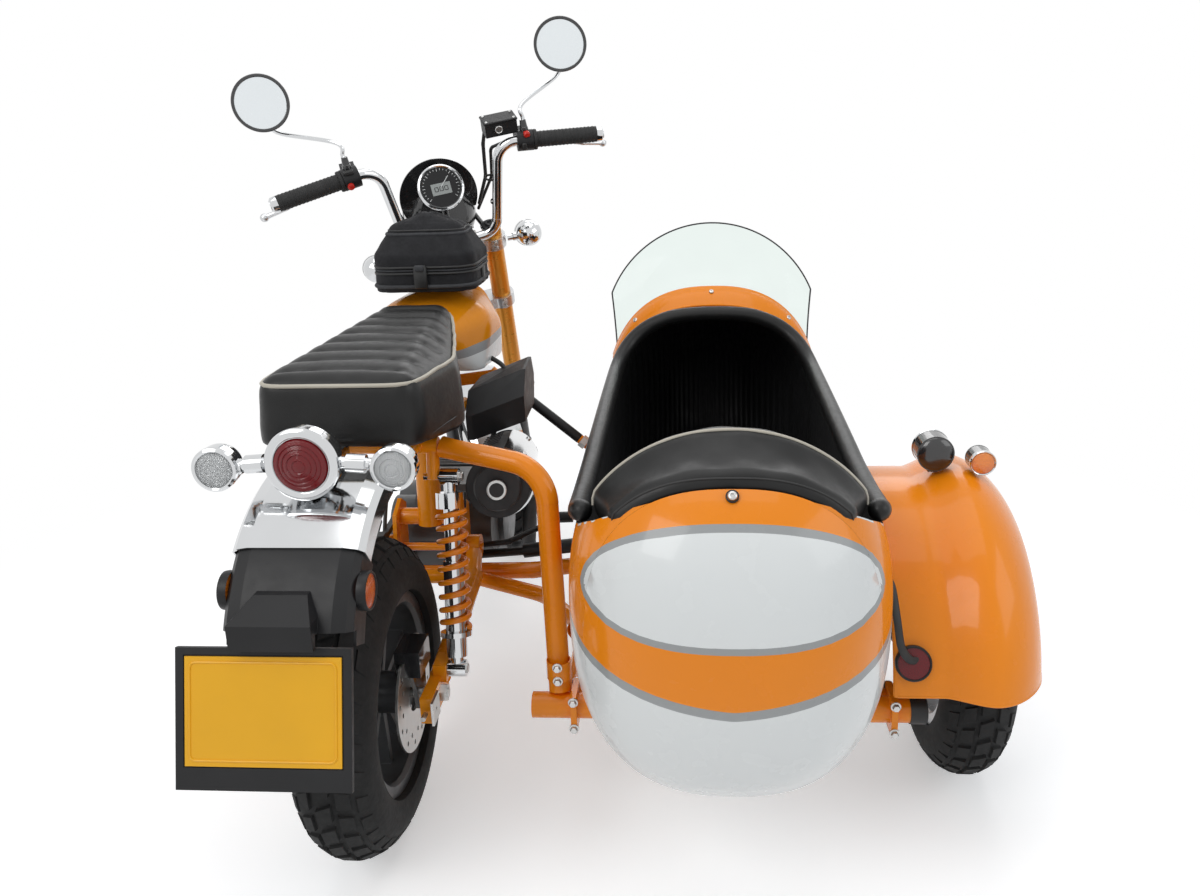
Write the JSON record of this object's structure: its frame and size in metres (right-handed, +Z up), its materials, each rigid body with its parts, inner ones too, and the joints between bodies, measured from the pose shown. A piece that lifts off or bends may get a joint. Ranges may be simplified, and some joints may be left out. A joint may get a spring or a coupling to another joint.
{
  "type": "sidecar motorcycle",
  "caption": "Small retro motorcycle with a boat-tailed sidecar on its right; the steering and every wheel turn. Tank bag, clear windscreen, chrome trim and a blank number plate.",
  "frame": {"origin": "middle of the vehicle's bounding box, on the ground", "axes": "+Y forward, +X to the rider's right (the sidecar's side), +Z up"},
  "size_m": [1.4604, 1.7411, 1.3655],
  "materials": {
    "frame": "gloss paint",
    "engine": "satin cast paint",
    "side_covers": "satin",
    "exhaust": "satin heat-proof paint",
    "heat_shield": "polished",
    "fuel_tank": "gloss paint",
    "tank_bag": "woven, matte",
    "seat": "grained",
    "swingarm": "gloss paint",
    "rear_axle": "zinc plated",
    "chain_guard": "satin",
    "shock_absorbers": "polished",
    "shock_springs": "gloss powder coat",
    "rear_caliper": "satin",
    "rear_fender": "polished",
    "fender_extension": "satin grained",
    "plate_frame": "satin",
    "number_plate": "satin, blank",
    "lamp_housings": "polished",
    "tail_lens": "clear, ribbed",
    "signal_lenses": "clear, ribbed",
    "side_reflectors": "prismatic",
    "foot_pegs": "matte",
    "fork_tubes": "gloss paint",
    "fork_sliders": "satin",
    "fork_clamps": "satin",
    "handlebar": "polished",
    "grips": "ribbed",
    "levers": "satin",
    "switchgear": "satin",
    "mirrors": "satin",
    "headlight": "gloss",
    "meter": "polished",
    "front_signals": "polished",
    "front_fender": "polished",
    "front_caliper": "satin",
    "control_cables": "matte",
    "front_rim": "satin",
    "front_tyre": "matte",
    "front_disc": "ground",
    "rear_rim": "satin",
    "rear_tyre": "matte",
    "rear_disc": "ground",
    "side_rim": "satin",
    "side_tyre": "matte",
    "sidecar_chassis": "gloss paint",
    "bike_mounts": "gloss paint",
    "sidecar_body": "gloss paint with white and grey bands",
    "cockpit_coaming": "padded",
    "seat_back": "padded",
    "sidecar_seat": "quilted",
    "screen_cowl": "gloss paint",
    "windscreen": "clear",
    "sidecar_fender": "gloss paint",
    "fender_lamps": "gloss",
    "side_axle": "satin"
  },
  "bodies": {
    "root": {"frame": "frame", "engine": "engine", "side_covers": "side_covers", "exhaust": "exhaust", "heat_shield": "heat_shield", "fuel_tank": "fuel_tank", "tank_bag": "tank_bag", "seat": "seat", "swingarm": "swingarm", "rear_axle": "rear_axle", "chain_guard": "chain_guard", "shock_absorbers": "shock_absorbers", "shock_springs": "shock_springs", "rear_caliper": "rear_caliper", "rear_fender": "rear_fender", "fender_extension": "fender_extension", "plate_frame": "plate_frame", "number_plate": "number_plate", "lamp_housings": "lamp_housings", "tail_lens": "tail_lens", "signal_lenses": "signal_lenses", "side_reflectors": "side_reflectors", "foot_pegs": "foot_pegs", "sidecar_chassis": "sidecar_chassis", "bike_mounts": "bike_mounts", "sidecar_body": "sidecar_body", "cockpit_coaming": "cockpit_coaming", "seat_back": "seat_back", "sidecar_seat": "sidecar_seat", "screen_cowl": "screen_cowl", "windscreen": "windscreen", "sidecar_fender": "sidecar_fender", "fender_lamps": "fender_lamps", "side_axle": "side_axle"},
    "steering": {"fork_tubes": "fork_tubes", "fork_sliders": "fork_sliders", "fork_clamps": "fork_clamps", "handlebar": "handlebar", "grips": "grips", "levers": "levers", "switchgear": "switchgear", "mirrors": "mirrors", "headlight": "headlight", "meter": "meter", "front_signals": "front_signals", "front_fender": "front_fender", "front_caliper": "front_caliper", "control_cables": "control_cables"},
    "front_wheel": {"front_rim": "front_rim", "front_tyre": "front_tyre", "front_disc": "front_disc"},
    "rear_wheel": {"rear_rim": "rear_rim", "rear_tyre": "rear_tyre", "rear_disc": "rear_disc"},
    "side_wheel": {"side_rim": "side_rim", "side_tyre": "side_tyre"}
  },
  "joints": [
    {"name": "steer", "type": "hinge", "parent": "root", "child": "steering", "pos_m": [-0.346, 0.35167, 0.78668], "axis": [0, -0.4226, 0.9063], "range_deg": [-61, 15]},
    {"name": "front_wheel_spin", "type": "hinge", "parent": "steering", "child": "front_wheel", "pos_m": [-0.35791, 0.63503, 0.24542], "axis": [0.9205, 0.3541, 0.1651], "continuous": true},
    {"name": "rear_wheel_spin", "type": "hinge", "parent": "root", "child": "rear_wheel", "pos_m": [-0.346, -0.5185, 0.256], "axis": [1, 0, 0], "continuous": true},
    {"name": "side_wheel_spin", "type": "hinge", "parent": "root", "child": "side_wheel", "pos_m": [0.646, -0.2805, 0.248], "axis": [1, 0, 0], "continuous": true}
  ]
}
